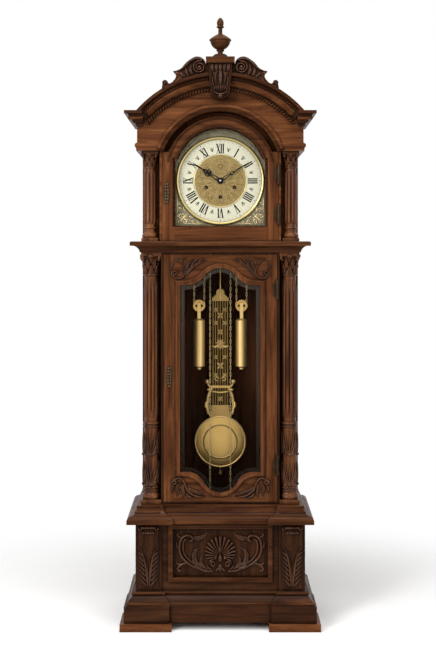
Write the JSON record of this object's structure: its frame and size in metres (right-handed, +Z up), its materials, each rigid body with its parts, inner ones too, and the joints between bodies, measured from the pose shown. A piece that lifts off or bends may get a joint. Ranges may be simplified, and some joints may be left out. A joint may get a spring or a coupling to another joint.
{
  "type": "longcase clock",
  "caption": "Weight-driven longcase clock with arched hood, fluted corner columns, glazed doors, brass pendulum, chain-hung weights and a carved base.",
  "frame": {"origin": "on the floor under the middle of the feet", "axes": "+Z up, the dial and doors face -Y, +X to the right as seen from the front"},
  "size_m": [0.718, 0.4104, 2.196],
  "materials": {
    "wood": "polished walnut",
    "carved_wood": "polished carved walnut",
    "inner_wood": "plain stained boards",
    "brass": "polished",
    "silvered": "silvered satin",
    "blued_steel": "blackened",
    "steel": "satin",
    "glass": "clear bevelled"
  },
  "bodies": {
    "case": {"back_plate": "brass", "backboard": "inner_wood", "base_cap_moulding": "wood", "base_carcass": "wood", "base_front_frame": "wood", "base_panel": "carved_wood", "base_pilasters": "carved_wood", "chain_left": "brass", "chain_right": "brass", "chapter_ring": "silvered", "dial_bezel": "brass", "dial_centre": "brass", "dial_mask": "inner_wood", "dial_plate": "brass", "feet": "wood", "finial": "carved_wood", "front_plate": "brass", "gong": "steel", "hinge_pins": "brass", "hood_carcass": "wood", "hood_columns": "carved_wood", "hood_cornice": "wood", "hood_front_frame": "wood", "keystone": "carved_wood", "movement_pillars": "brass", "pediment_scrolls": "carved_wood", "plinth": "wood", "seat_board": "inner_wood", "skirt_moulding": "wood", "spandrels": "brass", "suspension_cock": "brass", "trunk_front_frame": "wood", "trunk_sides": "wood", "trunk_top_moulding": "wood", "waist_columns": "carved_wood", "wheel_trains": "brass"},
    "hood_door": {"hood_door": "wood", "hood_door_glass": "glass", "hood_escutcheon": "brass", "hood_hinge_leaves": "brass"},
    "waist_door": {"waist_door": "wood", "waist_door_glass": "glass", "waist_glass_moulding": "wood", "waist_escutcheon": "brass", "waist_hinge_leaves": "brass"},
    "pendulum": {"pendulum_rod": "brass", "pendulum_lattice": "brass", "pendulum_lyre": "brass", "pendulum_bob": "brass", "rating_nut": "brass", "anchor": "steel"},
    "minute_hand": {"minute_hand": "blued_steel"},
    "hour_hand": {"hour_hand": "blued_steel"},
    "minute_wheel": {"minute_wheel": "brass"},
    "weight_left": {"weight_left": "brass"},
    "weight_right": {"weight_right": "brass"},
    "pulley_left": {"pulley_left": "brass"},
    "pulley_right": {"pulley_right": "brass"},
    "sprocket_left": {"sprocket_left": "brass"},
    "sprocket_right": {"sprocket_right": "brass"}
  },
  "joints": [
    {"name": "hood_door_hinge", "type": "hinge", "parent": "case", "child": "hood_door", "pos_m": [0.21075, -0.13775, 1.55], "axis": [0, 0, 1], "range_deg": [0, 100]},
    {"name": "waist_door_hinge", "type": "hinge", "parent": "case", "child": "waist_door", "pos_m": [0.20575, -0.13775, 0.9], "axis": [0, 0, 1], "range_deg": [0, 100]},
    {"name": "pendulum_swing", "type": "hinge", "parent": "case", "child": "pendulum", "pos_m": [0, 0.066, 1.67], "axis": [0, 1, 0], "range_deg": [-3, 3]},
    {"name": "minute_hand_turn", "type": "hinge", "parent": "case", "child": "minute_hand", "pos_m": [0, -0.08, 1.615], "axis": [0, 1, 0], "continuous": true},
    {"name": "hour_hand_turn", "type": "hinge", "parent": "case", "child": "hour_hand", "pos_m": [0, -0.08, 1.615], "axis": [0, 1, 0], "continuous": true},
    {"name": "minute_wheel_turn", "type": "hinge", "parent": "case", "child": "minute_wheel", "pos_m": [0, -0.05, 1.591], "axis": [0, 1, 0], "continuous": true},
    {"name": "weight_left_drop", "type": "slide", "parent": "case", "child": "weight_left", "axis": [0, 0, -1], "range_m": [-0.15, 0.5], "deforming": ["chain_left"]},
    {"name": "pulley_left_turn", "type": "hinge", "parent": "weight_left", "child": "pulley_left", "pos_m": [-0.079, 0, 1.154], "axis": [0, 1, 0], "continuous": true},
    {"name": "sprocket_left_turn", "type": "hinge", "parent": "case", "child": "sprocket_left", "pos_m": [-0.049, 0, 1.492], "axis": [0, 1, 0], "continuous": true},
    {"name": "weight_right_drop", "type": "slide", "parent": "case", "child": "weight_right", "axis": [0, 0, -1], "range_m": [-0.15, 0.5], "deforming": ["chain_right"]},
    {"name": "pulley_right_turn", "type": "hinge", "parent": "weight_right", "child": "pulley_right", "pos_m": [0.079, 0, 1.154], "axis": [0, 1, 0], "continuous": true},
    {"name": "sprocket_right_turn", "type": "hinge", "parent": "case", "child": "sprocket_right", "pos_m": [0.049, 0, 1.492], "axis": [0, 1, 0], "continuous": true}
  ],
  "couplings": [
    {"joint": "hour_hand_turn", "follows": "minute_hand_turn", "ratio": 0.083333},
    {"joint": "minute_wheel_turn", "follows": "minute_hand_turn", "ratio": -0.33333},
    {"joint": "pulley_left_turn", "follows": "weight_left_drop", "rad_per_m": 52.632},
    {"joint": "sprocket_left_turn", "follows": "weight_left_drop", "rad_per_m": -181.82},
    {"joint": "pulley_right_turn", "follows": "weight_right_drop", "rad_per_m": -52.632},
    {"joint": "sprocket_right_turn", "follows": "weight_right_drop", "rad_per_m": 181.82}
  ]
}
